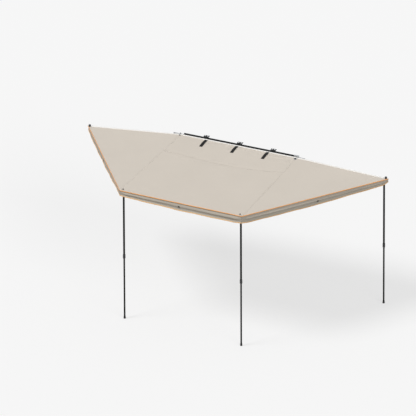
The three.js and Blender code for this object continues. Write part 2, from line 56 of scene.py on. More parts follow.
CAMERA_PITCH = 27.781
CAMERA_ROLL = -0.242
CAMERA_LENS = 978.5
CAMERA_NEAR = 1.0
CAMERA_REACH = 600.0

# Canvas, in metres: its edge along the base, the kinks at the ends of that edge, and the outer corners
BASE_EDGE = 0.036
KINK_FRONT = Vector((-1.025, -BASE_EDGE, 0.042))
KINK_REAR = Vector((1.025, -BASE_EDGE, 0.042))
CORNER_FRONT = Vector((-2.633, -0.103, -0.107))
CORNER_FRONT_MID = Vector((-1.085, -2.282, 0.085))
CORNER_REAR_MID = Vector((1.085, -2.378, 0.121))
CORNER_REAR = Vector((2.633, -0.067, 0.009))
CLOTH_THICK = 0.0012
UP = Vector((0, 0, 1))


def make_camera():
    yaw, pitch, roll = (math.radians(a) for a in (CAMERA_YAW, CAMERA_PITCH, CAMERA_ROLL))
    ahead = Vector((math.sin(yaw) * math.cos(pitch), math.cos(yaw) * math.cos(pitch), -math.sin(pitch)))
    right = Vector((math.cos(yaw), -math.sin(yaw), 0.0))
    up = right.cross(ahead)
    right, up = (right * math.cos(roll) + up * math.sin(roll),
                 up * math.cos(roll) - right * math.sin(roll))
    data = bpy.data.cameras.new("camera")
    data.lens = CAMERA_LENS
    data.clip_start = CAMERA_NEAR
    data.clip_end = CAMERA_REACH
    camera = bpy.data.objects.new("camera", data)
    bpy.context.collection.objects.link(camera)
    turn = Matrix((right, up, -ahead)).transposed().to_4x4()
    camera.matrix_world = Matrix.Translation(CAMERA_PLACE) @ turn
    bpy.context.scene.camera = camera


# Small builders for node materials
def new_material(name, color, roughness, metallic=0.0):
    material = bpy.data.materials.new(name)
    material.use_nodes = True
    shader = material.node_tree.nodes["Principled BSDF"]
    shader.inputs["Base Color"].default_value = (*color, 1.0)
    shader.inputs["Roughness"].default_value = roughness
    shader.inputs["Metallic"].default_value = metallic
    return material, material.node_tree.nodes, material.node_tree.links, shader


def mapped(nodes, links, scale):
    place = nodes.new("ShaderNodeTexCoord")
    mapping = nodes.new("ShaderNodeMapping")
    mapping.inputs["Scale"].default_value = scale
    links.new(place.outputs["Object"], mapping.inputs["Vector"])
    return mapping.outputs["Vector"]


def noise(nodes, links, vector, scale, detail, roughness=0.55):
    node = nodes.new("ShaderNodeTexNoise")
    node.inputs["Scale"].default_value = scale
    node.inputs["Detail"].default_value = detail
    node.inputs["Roughness"].default_value = roughness
    links.new(vector, node.inputs["Vector"])
    return node.outputs["Fac"]


def ramp(nodes, links, value, stops):
    node = nodes.new("ShaderNodeValToRGB")
    elements = node.color_ramp.elements
    while len(elements) < len(stops):
        elements.new(0.5)
    for element, (place, color) in zip(elements, stops):
        element.position = place
        element.color = (*color, 1.0)
    links.new(value, node.inputs["Fac"])
    return node.outputs["Color"]


def bump(nodes, links, shader, height, strength, distance):
    node = nodes.new("ShaderNodeBump")
    node.inputs["Strength"].default_value = strength
    node.inputs["Distance"].default_value = distance
    links.new(height, node.inputs["Height"])
    links.new(node.outputs["Normal"], shader.inputs["Normal"])


def math_node(nodes, links, operation, first, second):
    node = nodes.new("ShaderNodeMath")
    node.operation = operation
    for socket, value in zip(node.inputs, (first, second)):
        if isinstance(value, (int, float)):
            socket.default_value = value
        else:
            links.new(value, socket)
    return node.outputs["Value"]


def background_ray(nodes, links):
    """1 for the rays that show the background: those of the camera, of gloss and of glass."""
    path = nodes.new("ShaderNodeLightPath")
    seen = math_node(nodes, links, "MAXIMUM", path.outputs["Is Camera Ray"], path.outputs["Is Glossy Ray"])
    return math_node(nodes, links, "MAXIMUM", seen, path.outputs["Is Transmission Ray"])


def shade(color, factor):
    return tuple(min(1.0, channel * factor) for channel in color)


def shades_of(color, stops):
    """Stops of a ramp, from their places and the factors of the colour there."""
    return [(place, shade(color, factor)) for place, factor in stops]


WEAVE_SCALE = 31.25        # of the wave texture: one wave of the weave each 10 mm
WEAVE_DISTORTION = 0.6
WEAVE_DETAIL = 1.0


def weave_height(nodes, links, vector):
    """Crossed waves, high where a thread lies over another."""
    heights = []
    for direction in ("X", "Y"):
        wave = nodes.new("ShaderNodeTexWave")
        wave.bands_direction = direction
        wave.inputs["Scale"].default_value = WEAVE_SCALE
        wave.inputs["Distortion"].default_value = WEAVE_DISTORTION
        wave.inputs["Detail"].default_value = WEAVE_DETAIL
        links.new(vector, wave.inputs["Vector"])
        heights.append(wave.outputs["Fac"])
    return math_node(nodes, links, "MULTIPLY", heights[0], heights[1])


EVEN = (1.0, 1.0, 1.0)               # stretches of the noise: along no direction, or along one or two
SLUBS_LONG = (7.0, 330.0, 90.0)
SLUBS_CROSS = (330.0, 7.0, 7.0)
CLOTH_ROUGHNESS = 0.86
SHEEN_ROUGHNESS = 0.5
CLOTH_RAMP = (0.3, 0.7)
CLOTH_RELIEF = 0.0006
# Shares of the fine noise, the broad noise and the slubs in the cloth's colour, and of two of them in its relief
FINE_SHARE, BROAD_SHARE, SLUB_SHARE = 0.20, 0.40, 0.20
FINE_RELIEF, SLUB_RELIEF = 0.8, 0.9


def cloth_material(name, color, variation=0.035, weave=0.25, sheen=0.12, gloss=0.3):
    material, nodes, links, shader = new_material(name, color, CLOTH_ROUGHNESS)
    vector = mapped(nodes, links, EVEN)

    def slub_noise(stretch):
        return noise(nodes, links, mapped(nodes, links, stretch), scale=1.0, detail=2.0, roughness=0.5)

    def weighted_sum(first, share, second):
        """first and a share of second, added."""
        return math_node(nodes, links, "ADD", first, math_node(nodes, links, "MULTIPLY", second, share))

    broad = noise(nodes, links, vector, scale=1.7, detail=3.0)
    fine = noise(nodes, links, vector, scale=85.0, detail=5.0, roughness=0.65)
    slubs = math_node(nodes, links, "ADD", slub_noise(SLUBS_LONG), slub_noise(SLUBS_CROSS))
    total = weighted_sum(math_node(nodes, links, "MULTIPLY", fine, FINE_SHARE), BROAD_SHARE, broad)
    total = weighted_sum(total, SLUB_SHARE, slubs)
    stops = zip(CLOTH_RAMP, (1 - variation, 1 + variation))
    links.new(ramp(nodes, links, total, shades_of(color, stops)), shader.inputs["Base Color"])
    height = weighted_sum(weave_height(nodes, links, vector), FINE_RELIEF, fine)
    height = weighted_sum(height, SLUB_RELIEF, slubs)
    bump(nodes, links, shader, height, weave, CLOTH_RELIEF)
    shader.inputs["Sheen Weight"].default_value = sheen
    shader.inputs["Sheen Roughness"].default_value = SHEEN_ROUGHNESS
    shader.inputs["Specular IOR Level"].default_value = gloss
    return material


GRAIN_ALONG_X = (1.0, 60.0, 60.0)
GRAIN_ALONG_Z = (60.0, 60.0, 1.0)
GRAIN_CAST = (3.0, 3.0, 3.0)
METAL_SCUFFS = ((0.35, 0.88), (0.5, 1.0), (0.72, 1.15))    # places on the ramp, and shades of the colour
METAL_SMOOTHER, METAL_ROUGHER = 0.07, 0.12
METAL_BUMP, METAL_RELIEF = 0.12, 0.0004
PLASTIC_WEAR = ((0.4, 1.0), (0.75, 1.6))
PLASTIC_BUMP, PLASTIC_RELIEF = 0.25, 0.0003


def metal_material(name, color, roughness, metallic, stretch=GRAIN_ALONG_X, gloss=0.5):
    material, nodes, links, shader = new_material(name, color, roughness, metallic)
    shader.inputs["Specular IOR Level"].default_value = gloss
    grain = noise(nodes, links, mapped(nodes, links, stretch), scale=14.0, detail=6.0, roughness=0.6)
    scuff = noise(nodes, links, mapped(nodes, links, EVEN), scale=6.0, detail=6.0, roughness=0.7)
    links.new(ramp(nodes, links, scuff, shades_of(color, METAL_SCUFFS)), shader.inputs["Base Color"])
    rough = nodes.new("ShaderNodeMapRange")
    rough.inputs["To Min"].default_value = roughness - METAL_SMOOTHER
    rough.inputs["To Max"].default_value = roughness + METAL_ROUGHER
    links.new(grain, rough.inputs["Value"])
    links.new(rough.outputs["Result"], shader.inputs["Roughness"])
    bump(nodes, links, shader, grain, METAL_BUMP, METAL_RELIEF)
    return material


def plastic_material(name, color, roughness):
    material, nodes, links, shader = new_material(name, color, roughness)
    vector = mapped(nodes, links, EVEN)
    grain = noise(nodes, links, vector, scale=900.0, detail=3.0, roughness=0.6)
    worn = noise(nodes, links, vector, scale=22.0, detail=6.0, roughness=0.7)
    links.new(ramp(nodes, links, worn, shades_of(color, PLASTIC_WEAR)), shader.inputs["Base Color"])
    bump(nodes, links, shader, grain, PLASTIC_BUMP, PLASTIC_RELIEF)
    return material


# Colours, in linear light
CANVAS = (0.590, 0.537, 0.471)
VALANCE = (0.430, 0.391, 0.330)
# Painted shade: the cross seam's cloth is the canvas colour darkened, standing in for the shade along the seam
SEAM_PAINTED_SHADE = (0.545, 0.495, 0.434)
PIPING = (0.790, 0.385, 0.145)
BINDING = (0.770, 0.475, 0.230)
# Painted highlight: the hems along the base are painted paler than the canvas, standing in for the light along that
# edge
HEM_PAINTED_HIGHLIGHT = (0.790, 0.775, 0.745)
WEBBING = (0.016, 0.016, 0.016)
THREAD_PALE = (0.700, 0.660, 0.590)
THREAD_BLACK = (0.030, 0.030, 0.032)
RAIL = (0.014, 0.015, 0.016)
ARM = (0.560, 0.570, 0.580)
LEG = (0.004, 0.004, 0.004)
CASTING = (0.420, 0.430, 0.440)
STEEL = (0.680, 0.690, 0.700)
MOULDING = (0.014, 0.014, 0.015)
RUBBER = (0.010, 0.010, 0.010)

LOOKS = {
    "canvas": cloth_material("canvas_weave", CANVAS),
    "valance": cloth_material("valance_weave", VALANCE, variation=0.06, weave=0.3),
    # The seam look is the canvas painted darker: painted shade along the cross seam
    "seam": cloth_material("canvas_seam_painted_shade", SEAM_PAINTED_SHADE, variation=0.05, weave=0.5),
    "piping": cloth_material("orange_piping", PIPING, variation=0.10, weave=0.4),
    "binding": cloth_material("pale_orange_binding", BINDING, variation=0.08, weave=0.4),
    # The hem look is painted pale: painted highlight along the canvas edge at the base
    "hem": cloth_material("hem_painted_highlight", HEM_PAINTED_HIGHLIGHT, variation=0.03, weave=0.3),
    "webbing": cloth_material("black_webbing", WEBBING, variation=0.25, weave=0.8, sheen=0.01, gloss=0.15),
    "thread": cloth_material("pale_thread", THREAD_PALE, variation=0.05, weave=0.2),
    "black_thread": cloth_material("black_thread", THREAD_BLACK, variation=0.10, weave=0.2),
    "rail": metal_material("rail_powder_black", RAIL, roughness=0.50, metallic=0.0, gloss=0.2),
    "arm": metal_material("arm_satin_aluminium", ARM, roughness=0.34, metallic=0.95),
    "leg": metal_material("leg_black_powder", LEG, roughness=0.45, metallic=0.0, stretch=GRAIN_ALONG_Z, gloss=0.16),
    "casting": metal_material("cast_aluminium", CASTING, roughness=0.42, metallic=0.9, stretch=GRAIN_CAST),
    "steel": metal_material("zinc_steel", STEEL, roughness=0.36, metallic=0.90),
    "moulding": plastic_material("black_nylon", MOULDING, roughness=0.52),
    "rubber": plastic_material("black_rubber", RUBBER, roughness=0.80),
}


ROUND_ANGLE = 50.0         # faces that meet at less than this, in degrees, are shaded as one round face
PLACE_DIGITS = 6           # corners that agree to a micrometre are one corner


def shade_round(mesh):
    """Give each corner the mean normal of its nearly flat neighbours, weighted by their areas."""
    near = math.cos(math.radians(ROUND_ANGLE))
    around = {}
    for face in mesh.polygons:
        for corner in face.vertices:
            place = mesh.vertices[corner].co.to_tuple(PLACE_DIGITS)
            around.setdefault(place, []).append((face.normal.copy(), face.area))
    normals = []
    for face in mesh.polygons:
        for corner in face.vertices:
            total = Vector((0, 0, 0))
            for normal, area in around[mesh.vertices[corner].co.to_tuple(PLACE_DIGITS)]:
                if normal.dot(face.normal) > near:
                    total += normal * area
            normals.append(total.normalized() if total.length > 0 else face.normal)
    mesh.polygons.foreach_set("use_smooth", [True] * len(mesh.polygons))
    mesh.normals_split_custom_set(normals)


def dress_frame():
    """Give each solid its look and round shading."""
    for row in frame["record"]["subparts"]:
        node = frame["nodes"][row["node"]]
        node.data.materials.clear()
        node.data.materials.append(LOOKS[row["material_slot"]])
        shade_round(node.data)


def new_piece(name, points, faces, look, smooth=True):
    mesh = bpy.data.meshes.new(name)
    mesh.from_pydata([tuple(p) for p in points], [], faces)
    mesh.validate()
    mesh.polygons.foreach_set("use_smooth", [smooth] * len(mesh.polygons))
    mesh.materials.append(LOOKS[look])
    piece = bpy.data.objects.new(name, mesh)
    bpy.context.collection.objects.link(piece)
    return piece


def thickened(piece, thick):
    """Give the piece its thickness, all of it below or behind its drawn face."""
    solid = piece.modifiers.new("thickness", "SOLIDIFY")
    solid.thickness = thick
    solid.offset = -1.0
    return piece


def grid_piece(name, rows, columns, point, look, thick=CLOTH_THICK):
    """A sheet through point(u, v), with u and v from 0 to 1."""
    points = [point(i / rows, j / columns) for i in range(rows + 1) for j in range(columns + 1)]
    width = columns + 1
    faces = [(i * width + j, (i + 1) * width + j, (i + 1) * width + j + 1, i * width + j + 1)
             for i in range(rows) for j in range(columns)]
    return thickened(new_piece(name, points, faces, look), thick)


def tube_piece(name, path, radius, look, sides=8, flat=1.0):
    """A closed tube along a list of points; flat below 1 makes it lower than it is wide."""
    points, faces = [], []
    count = len(path)
    for i, p in enumerate(path):
        way = (path[min(i + 1, count - 1)] - path[max(i - 1, 0)]).normalized()
        side = way.cross(UP).normalized()
        up = side.cross(way).normalized()
        for k in range(sides):
            angle = 2 * math.pi * k / sides
            points.append(p + side * (radius * math.cos(angle)) + up * (radius * flat * math.sin(angle)))
    for i in range(count - 1):
        for k in range(sides):
            a, b = i * sides + k, i * sides + (k + 1) % sides
            faces.append((a, b, b + sides, a + sides))
    faces.append(tuple(range(sides))[::-1])
    faces.append(tuple(range((count - 1) * sides, count * sides)))
    return new_piece(name, points, faces, look)


# Shapes of the cloth: lengths in metres, turns in radians per metre
SAG = 0.014                                    # at the middle of a panel
SAG_REACH = 1.02
SOFT_WAVES = ((3.1, 1.7, 0.5), (-1.3, 4.3, 0.3), (6.1, -5.2, 0.2))     # turns along x and y, and share
SOFT_STEP = 1.7
SWELL = 0.0035                                 # broad unevenness of the middle panel
SWELL_STRETCH = (1.3, 1.1)
SWELL_SEED = 0.4
SEAM_FOLD, SEAM_FOLD_WIDE = 0.005, 0.05        # the shallow valley along the cross seam
GATHERS, GATHERS_FADE = 0.004, 0.28            # small waves that leave the base, and how far they reach
GATHERS_TURN, GATHERS_SLANT = 16.0, 5.0


def soft_noise(x, y, seed):
    """A smooth uneven height between -1 and 1."""
    total = 0.0
    for k, (a, b, amount) in enumerate(SOFT_WAVES):
        total += amount * math.sin(a * x + b * y + seed + SOFT_STEP * k)
    return total


# Small pulls in the canvas near the rear kink: x, y, half length, half width and height
PULLS = ((0.78, -0.190, 0.130, 0.013, -0.0060), (0.70, -0.108, 0.095, 0.012, -0.0050),
         (0.74, -0.148, 0.110, 0.015, 0.0045), (0.90, -0.260, 0.110, 0.016, 0.0035))
PULL_SLOPE = 0.11


def pulls_at(x, y):
    """Height of the pulls at a place on the canvas."""
    total = 0.0
    for px, py, along, across, height in PULLS:
        aside = y - py - PULL_SLOPE * (x - px)
        total += height * math.exp(-(((x - px) / along) ** 2) - ((aside / across) ** 2))
    return total


# The cross seam's distance from the base, in metres, as a cubic in v: it bows with the cloth
SEAM_BOW = (0.668, 0.033, 0.313, -0.430)


def seam_reach(v):
    return sum(share * v ** power for power, share in enumerate(SEAM_BOW))


def middle_point(u, v):
    """A point of the middle panel: u goes from the base outwards, v from the front to the rear."""
    start = KINK_FRONT.lerp(KINK_REAR, v)
    end = CORNER_FRONT_MID.lerp(CORNER_REAR_MID, v)
    p = start.lerp(end, u)
    across = math.sin(math.pi * v)
    inner = across * math.sin(math.pi * min(1.0, u * SAG_REACH))
    reach = -(p.y + BASE_EDGE)
    fold = SEAM_FOLD * math.exp(-(((reach - seam_reach(v)) / SEAM_FOLD_WIDE) ** 2)) * across
    swell = SWELL * inner * soft_noise(p.x * SWELL_STRETCH[0], p.y * SWELL_STRETCH[1], SWELL_SEED)
    near_base = GATHERS * math.exp(-reach / GATHERS_FADE) * across * math.sin(
        GATHERS_TURN * p.x + GATHERS_SLANT * reach)
    return p - Vector((0, 0, SAG * inner + fold - swell - near_base - pulls_at(p.x, p.y)))


APEX_CUT = 0.004           # share of its reach that an end panel leaves free at the kink
SHARE_PEAK = 27            # the product of three shares that make 1 is at most 1/27
RADIAL, RADIAL_TURN = 0.0025, 9.0
END_SWELL = 0.003


def end_point(apex, first, second, seed):
    """The triangle between a kink and two corners: u goes from the kink outwards, v from first to second."""
    def point(u, v):
        t = APEX_CUT + (1 - APEX_CUT) * u
        p = apex.lerp(first.lerp(second, v), t)
        inner = SHARE_PEAK * (1 - t) * t * (1 - v) * t * v
        radial = RADIAL * math.sin(math.pi * v) * (1 - t) ** 0.5 * t * math.sin(RADIAL_TURN * v + seed)
        return p - Vector((0, 0, SAG * inner - radial - END_SWELL * inner * soft_noise(p.x, p.y, seed)))
    return point


FRONT_POINT = end_point(KINK_FRONT, CORNER_FRONT, CORNER_FRONT_MID, 1.1)
REAR_POINT = end_point(KINK_REAR, CORNER_REAR_MID, CORNER_REAR, 2.3)


# The body that each side of the canvas rides on, and how it would gather when the arms fold, towards the base or onto
# its own arm:
# body, joint, axis, anchor and the share of its depth that it keeps
GATHER = {
    "middle": ("base", "front_arm_swing", (0, 1, 0), (0.0, KINK_FRONT.y, 0.0), 0.06),
    "front": ("front_arm", "front_end_fold", (1, 0, 0), (-1.10, 0.0, 0.0), 0.05),
    "rear": ("middle_arm", "rear_end_fold", (1, 0, 0), (1.10, 0.0, 0.0), 0.05),
}


def gather(piece, side):
    """Let the piece ride with its side of the canvas."""
    body, joint, axis, anchor, keep = GATHER[side]
    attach(piece, body)
    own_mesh(piece)
    return piece


def triangle_area(a, b, c):
    return (b - a).cross(c - a).length / 2


def grid_area(point, rows=60, columns=12):
    """The area of the surface that point(u, v) draws."""
    total = 0.0
    for i in range(rows):
        for j in range(columns):
            a, b, c, d = (point((i + di) / rows, (j + dj) / columns) for di, dj in ((0, 0), (1, 0), (1, 1), (0, 1)))
            total += triangle_area(a, b, c) + triangle_area(a, c, d)
    return total


# Rows and columns of faces on the canvas
MIDDLE_GRID = (190, 110)
END_GRID = (72, 60)


def make_canvas():
    seams = make_seams()
    middle = grid_piece("canvas_middle_cloth", *MIDDLE_GRID, middle_point, "canvas")
    front = grid_piece("canvas_front_cloth", *END_GRID, FRONT_POINT, "canvas")
    rear = grid_piece("canvas_rear_cloth", *END_GRID, REAR_POINT, "canvas")
    for piece, side, node in ((middle, "middle", "canvas_middle"), (front, "front", "canvas_front"),
                              (rear, "rear", "canvas_rear")):
        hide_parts(node)
        gather(piece, side)
    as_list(seams["middle"])
    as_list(seams["front"])
    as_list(seams["rear"])


def level_side(way):
    """The level direction square to way."""
    return Vector((-way.y, way.x, 0)).normalized()


# Seams are narrow strips of doubled cloth that follow a line on the panels
RIBBON_STEPS = 90
RIBBON_LIFT = 0.0004
RIBBON_THICK = 0.0005
RIBBON_SHARES = (-1, -0.9, 0, 0.9, 1)      # where the points of a row lie, in half widths


def ribbon_piece(name, line, width, raised, look):
    """A strip along line(t), raised between its two edges."""
    points = [line(i / RIBBON_STEPS) for i in range(RIBBON_STEPS + 1)]
    places = []
    for i, p in enumerate(points):
        side = level_side(points[min(i + 1, RIBBON_STEPS)] - points[max(i - 1, 0)])
        places += [p + side * (width * k / 2) + Vector((0, 0, RIBBON_LIFT + (raised if abs(k) < 1 else 0)))
                   for k in RIBBON_SHARES]
    row = len(RIBBON_SHARES)
    faces = [(i * row + k, (i + 1) * row + k, (i + 1) * row + k + 1, i * row + k + 1)
             for i in range(RIBBON_STEPS) for k in range(row - 1)]
    return thickened(new_piece(name, places, faces, look), RIBBON_THICK)


def straight(first, second):
    return lambda t: first.lerp(second, t)


# Stitches: small raised diamonds in a row, one pitch apart
STITCH_PITCH = 0.0085
STITCH_SPAN = (0.16, 0.84)                 # where one starts and ends, in shares of the pitch
MEASURE_STEPS = 24
STITCH_WIDE = 0.0014
STITCH_HIGH = 0.0008


def stitch_row(name, place, normal, look="thread"):
    """A row of stitches along place(t), which lies on the cloth, with normal pointing out of it."""
    length = sum((place((i + 1) / MEASURE_STEPS) - place(i / MEASURE_STEPS)).length for i in range(MEASURE_STEPS))
    count = max(2, round(length / STITCH_PITCH))
    points, faces = [], []
    for k in range(count):
        start, end = (place((k + share) / count) for share in STITCH_SPAN)
        side = (end - start).cross(normal).normalized() * (STITCH_WIDE / 2)
        middle = (start + end) / 2
        base = len(points)
        points += [start, middle + side, end, middle - side, middle + normal * STITCH_HIGH]
        faces += [(base, base + 1, base + 4), (base + 1, base + 2, base + 4), (base + 2, base + 3, base + 4),
                  (base + 3, base, base + 4), (base, base + 3, base + 2, base + 1)]
    piece = new_piece(name, points, faces, look, smooth=False)
    return piece


NEAR = 0.01                # share of a line over which its direction is taken


def beside(line, shift, lift):
    """The line moved sideways by shift and up by lift."""
    def place(t):
        way = line(min(1.0, t + NEAR)) - line(max(0.0, t - NEAR))
        return line(t) + level_side(way) * shift + UP * lift
    return place


CANVAS_REACH = 2.29        # from the base to the outer edge of the middle panel
# The seams to the corners: width, how far they are raised, and where their two rows of stitches lie
SIDE_SEAM_WIDE, SIDE_SEAM_RAISED = 0.022, 0.0006
SIDE_STITCH_SHIFT, SIDE_STITCH_LIFT = 0.0065, 0.0011
CROSS_SEAM_WIDE, CROSS_SEAM_RAISED = 0.020, 0.0016
CROSS_STITCH_SHIFT, CROSS_STITCH_LIFT = 0.0055, 0.0022
END_FREE = 0.004           # share of its length that a line of sewing leaves free at each end
HEM_RADIUS = 0.0140
HEM_FLAT = 0.5
HEM_SHIFT = Vector((0, -0.009, 0.002))
HEM_SHORT = 0.010          # share of its length that the hem leaves free at the end corners
HEM_STEPS = 60
HEM_SIDES = 10
# Each hem: name, its ends, panel, and the shares of the line where it starts and ends
HEMS = (
    ("hem_front", CORNER_FRONT, KINK_FRONT, "front", HEM_SHORT, 1.0),
    ("hem_middle", KINK_FRONT, KINK_REAR, "middle", 0.0, 1.0),
    ("hem_rear", KINK_REAR, CORNER_REAR, "rear", 0.0, 1.0 - HEM_SHORT),
)


def sewn(t):
    """The place t along a whole line, moved off its free ends."""
    return END_FREE + (1 - 2 * END_FREE) * t


def two_rows(name, line, shift, lift):
    """Two rows of stitches, one on each side of the line."""
    return [stitch_row(f"{name}_stitches_{i}", beside(line, aside, lift), UP)
            for i, aside in ((1, -shift), (2, shift))]


def make_seams():
    made = {"middle": [], "front": [], "rear": []}
    for name, line, side in (("seam_front", straight(KINK_FRONT, CORNER_FRONT_MID), "front"),
                             ("seam_rear", straight(KINK_REAR, CORNER_REAR_MID), "rear")):
        piece = ribbon_piece(name, line, SIDE_SEAM_WIDE, SIDE_SEAM_RAISED, "canvas")
        for part in [piece] + two_rows(name, line, SIDE_STITCH_SHIFT, SIDE_STITCH_LIFT):
            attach(part, GATHER[side][0])
            made[side].append(part)

    def across(t):
        v = sewn(t)
        return middle_point(seam_reach(v) / CANVAS_REACH, v)

    # The cross seam strip takes the seam look, painted darker than the canvas as painted shade
    cross = ribbon_piece("seam_cross", across, CROSS_SEAM_WIDE, CROSS_SEAM_RAISED, "seam")
    for part in [cross] + two_rows("seam_cross", across, CROSS_STITCH_SHIFT, CROSS_STITCH_LIFT):
        made["middle"].append(gather(part, "middle"))
    for name, first, second, side, low, high in HEMS:
        path = [first.lerp(second, low + (high - low) * i / HEM_STEPS) + HEM_SHIFT for i in range(HEM_STEPS + 1)]
        # The hems take the hem look, painted paler than the canvas as a painted highlight
        hem = tube_piece(name, path, HEM_RADIUS, "hem", sides=HEM_SIDES, flat=HEM_FLAT)
        made[side].append(gather(hem, side))
    return made


# Valances: a strip with a lengthwise fold, binding along both edges and an eyelet at mid length
VALANCE_DROP = 0.126
VALANCE_THICK = 0.0011
VALANCE_GRID = (150, 14)
FOLD_OUT = 0.023
FOLD_LINE = ((0.0, 0.0), (0.10, 0.0), (0.44, 1.0), (0.72, 0.0), (1.0, 0.45))    # share of the drop, share of FOLD_OUT
FOLD_MEAN, FOLD_VARIES, FOLD_TURN = 0.75, 0.25, 2.3
WAVE_OUT, WAVE_TURN = 0.0035, 11.0
RIPPLE_OUT, RIPPLE_TURN = 0.0012, 31.0
HEADING_OUT = 0.002
CORNER_EASE = 0.12         # over this length the folds die out towards a corner
CORNER_LAP = 0.0025
# The drop at each end of a valance, and over what length it grows to the full one
HANGS = {
    "front": (0.088, 0.50),
    "front_mid": (0.088, 1.10),
    "rear_mid": (0.122, 0.17),
    "rear": (0.082, 1.30),
}
# The lower corners at the two ends of the awning are cut: by how much, and how far along
CUTS = {"front": (0.020, 0.12), "rear": (0.034, 0.11)}
NO_CUT = (0.0, 1.0)
CUT_CURVE = 1.5


def ease(share):
    return max(0.0, min(1.0, share))


def fold_at(v):
    """How far the fold stands out at the share v of the drop."""
    for (low, low_out), (high, high_out) in zip(FOLD_LINE, FOLD_LINE[1:]):
        if v <= high:
            share = (1 - math.cos(math.pi * (v - low) / (high - low))) / 2
            return low_out + (high_out - low_out) * share
    return FOLD_LINE[-1][1]


def valance_shape(first, second, start, finish, seed, depth, lean):
    """The surface, the length and the outward direction of the valance from first to second."""
    run = second - first
    length = run.length
    out = level_side(run)

    def drop_at(s):
        drop = VALANCE_DROP
        for (end_drop, taper), away in ((HANGS[start], s), (HANGS[finish], length - s)):
            drop -= (VALANCE_DROP - end_drop) * ease(1 - away / taper)
        for end, away in ((start, s), (finish, length - s)):
            cut, reach = CUTS.get(end, NO_CUT)
            drop -= cut * ease(1 - away / reach) ** CUT_CURVE
        return drop

    def point(u, v):
        s = u * (length + 2 * CORNER_LAP) - CORNER_LAP
        near = ease(min(s, length - s) / CORNER_EASE)
        fold = depth * FOLD_OUT * fold_at(v) * (FOLD_MEAN + FOLD_VARIES * math.sin(FOLD_TURN * s + seed))
        wave = WAVE_OUT * v * (1 + math.sin(WAVE_TURN * s + seed))
        ripple = RIPPLE_OUT * math.sin(RIPPLE_TURN * s + 2 * seed) * v
        way = out * (HEADING_OUT + (fold + wave + ripple + lean * v) * near)
        return first.lerp(second, s / length) + way - Vector((0, 0, drop_at(s) * v))
    return point, length, out


# Each valance: name, its ends, how they hang, panel, seed, place of the eyelet, depth of fold, lean outwards
# at the lower edge, and thickness of trim
VALANCES = (
    ("front", CORNER_FRONT_MID, CORNER_FRONT, "front_mid", "front", "front", 0.4, 0.515, 0.30, -0.013, 0.80),
    ("side", CORNER_REAR_MID, CORNER_FRONT_MID, "rear_mid", "front_mid", "middle", 1.9, 0.512, 1.0, 0.0, 1.0),
    ("rear", CORNER_REAR, CORNER_REAR_MID, "rear", "rear_mid", "rear", 3.1, 0.487, 1.35, 0.0, 1.0),
)


# Trim of the valances: edge, share of the drop, radius, look and how far it stands out
TRIMS = (
    ("piping", 0.0, 0.0072, "piping", 0.005),
    ("binding", 1.0, 0.0075, "binding", 0.001),
)
TRIM_STEPS = 110
TRIM_SIDES = 8
EYELET_SIDES = 24
EYELET_PLACE, EYELET_OUT = 0.5, 0.001                   # share of the drop, and how far it stands out
EYELET_PROFILE = ((0.007, 0.001), (0.009, 0.004), (0.013, 0.0035), (0.016, 0.0005), (0.013, 0.0))   # radius, height
VALANCE_ROWS = ((1, 0.095), (2, 0.905))                 # rows of stitches, at shares of the drop
THREAD_OUT = 0.0004


def make_eyelet(name, place, out, side):
    across = UP.cross(out).normalized()
    points = [place + out * height + (across * math.cos(a) + UP * math.sin(a)) * radius
              for a in (2 * math.pi * k / EYELET_SIDES for k in range(EYELET_SIDES))
              for radius, height in EYELET_PROFILE]
    count = len(EYELET_PROFILE)
    rings = [(k * count, ((k + 1) % EYELET_SIDES) * count) for k in range(EYELET_SIDES)]
    faces = [(here + j, beyond + j, beyond + (j + 1) % count, here + (j + 1) % count)
             for here, beyond in rings for j in range(count)]
    piece = new_piece(name, points, faces, "moulding")
    return gather(piece, side)


def make_valances():
    for label, first, second, start, finish, side, seed, middle, depth, lean, trim_size in VALANCES:
        point, length, out = valance_shape(first, second, start, finish, seed, depth, lean)
        cloth = grid_piece(f"valance_{label}_cloth", *VALANCE_GRID, point, "valance", thick=VALANCE_THICK)
        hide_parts(f"valance_{label}")
        gather(cloth, side)
        for edge, v, radius, look, shift in TRIMS:
            path = [point(i / TRIM_STEPS, v) + out * shift for i in range(TRIM_STEPS + 1)]
            band = tube_piece(f"{edge}_{label}", path, radius * trim_size, look, sides=TRIM_SIDES)
            gather(band, side)
        make_eyelet(f"eyelet_{label}", point(middle, EYELET_PLACE) + out * EYELET_OUT, out, side)
        for i, v in VALANCE_ROWS:
            row = stitch_row(f"valance_{label}_stitches_{i}",
                             lambda t, v=v: point(sewn(t), v) + out * THREAD_OUT, out)
            gather(row, side)
        grid_area(point)


# Fittings that pin the canvas at the ends of the base: name, kink, shift from it, radius and look of the ring
KINK_FITTINGS = (
    ("front", KINK_FRONT, Vector((0.000, -0.038, 0.0016)), 0.013, "moulding"),
    ("rear", KINK_REAR, Vector((-0.006, -0.055, 0.0014)), 0.030, "casting"),
)
# Their profiles: share of the ring's radius, and height in metres
WASHER_PROFILE = ((0.4, 0.0035), (0.85, 0.0035), (1.0, 0.0015), (1.0, 0.0))
STUD_PROFILE = ((0.30, 0.010), (0.55, 0.0070), (0.60, 0.0))
TURNED_SIDES = 32


def turned_piece(name, place, size, profile, look):
    """A closed round piece on an upright axis; the profile goes from the axis out and down."""
    points = [place + Vector((size * share * math.cos(a), size * share * math.sin(a), height))
              for a in (2 * math.pi * k / TURNED_SIDES for k in range(TURNED_SIDES)) for share, height in profile]
    count = len(profile)
    rings = [(k * count, ((k + 1) % TURNED_SIDES) * count) for k in range(TURNED_SIDES)]
    faces = [(here + j, here + j + 1, beyond + j + 1, beyond + j)
             for here, beyond in rings for j in range(count - 1)]
    faces.append(tuple(here for here, _ in rings))
    faces.append(tuple(here + count - 1 for here, _ in rings)[::-1])
    piece = new_piece(name, points, faces, look)
    shade_round(piece.data)
    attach(piece, "base")
    return piece


